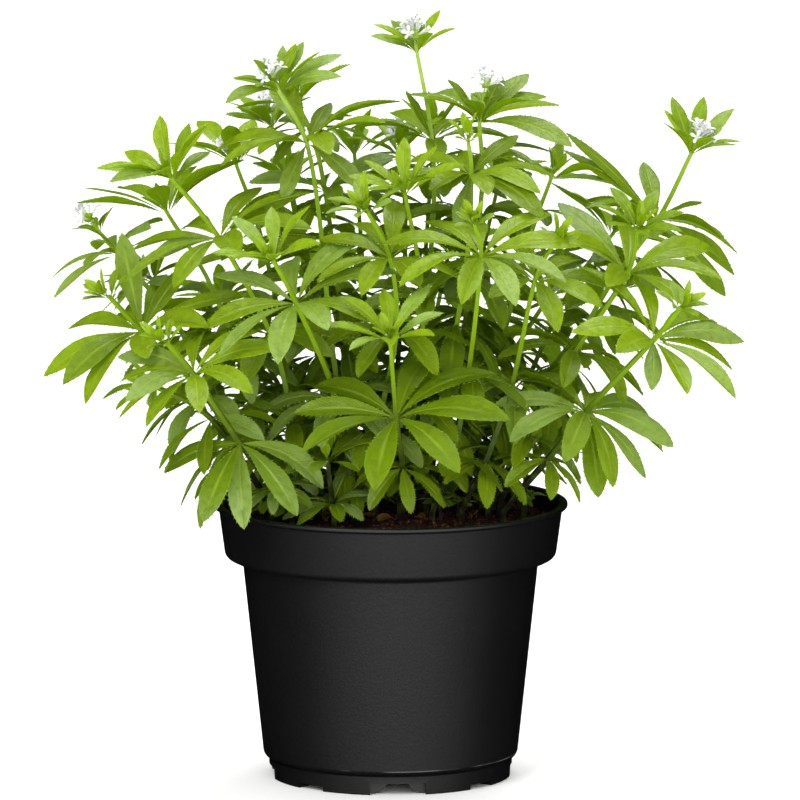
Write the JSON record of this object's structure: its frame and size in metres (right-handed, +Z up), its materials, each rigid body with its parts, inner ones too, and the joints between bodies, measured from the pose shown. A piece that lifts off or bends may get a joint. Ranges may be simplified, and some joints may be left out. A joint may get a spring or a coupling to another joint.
{
  "type": "potted sweet woodruff",
  "caption": "Bushy sweet woodruff in a round black nursery pot: whorls of narrow pointed leaves on square stems, with small white flower heads.",
  "frame": {"origin": "middle of the pot's foot ring, on the surface that it stands on, which is also the middle of the whole plant's box", "axes": "+Z up along the pot's axis, -Y towards the side that the picture shows, +X to its right"},
  "size_m": [0.235, 0.1983, 0.2591],
  "materials": {
    "pot": "satin moulded polypropylene, black",
    "soil": null,
    "leaf": null,
    "floret": "white petals, matt"
  },
  "bodies": {
    "root": {"pot": "pot", "soil": "soil", "florets_upper_left_tall": "floret", "florets_tallest": "floret", "florets_top_right_of_middle": "floret", "florets_right_flower": "floret", "florets_left_rear_top": "floret", "florets_upper_left_rear": "floret", "florets_upper_left_back": "floret", "florets_top_middle_back": "floret", "stem_front_middle": "leaf", "stem_front_left": "leaf", "stem_middle_right": "leaf", "stem_front_right_low": "leaf", "stem_front_left_low": "leaf", "stem_left": "leaf", "stem_left_light": "leaf", "stem_middle_light": "leaf", "stem_middle_front": "leaf", "stem_right_of_middle": "leaf", "stem_right_light": "leaf", "stem_upper_left_tall": "leaf", "stem_upper_middle": "leaf", "stem_tallest": "leaf", "stem_top_right_of_middle": "leaf", "stem_right_flower": "leaf", "stem_upper_right": "leaf", "stem_left_rear": "leaf", "stem_left_rear_top": "leaf", "stem_upper_left_rear": "leaf", "stem_upper_left_back": "leaf", "stem_upper_left_fork": "leaf", "stem_top_middle_back": "leaf", "stem_right_back": "leaf", "stem_left_under": "leaf", "stem_low_right": "leaf", "stem_low_front_left": "leaf", "stem_rear_outer_1": "leaf", "stem_rear_outer_2": "leaf", "stem_rear_outer_3": "leaf", "stem_rear_outer_4": "leaf", "stem_rear_outer_5": "leaf", "stem_rear_outer_6": "leaf", "stem_rear_inner_1": "leaf", "stem_rear_inner_2": "leaf", "stem_rear_inner_3": "leaf", "stem_rear_inner_4": "leaf"}
  },
  "joints": []
}
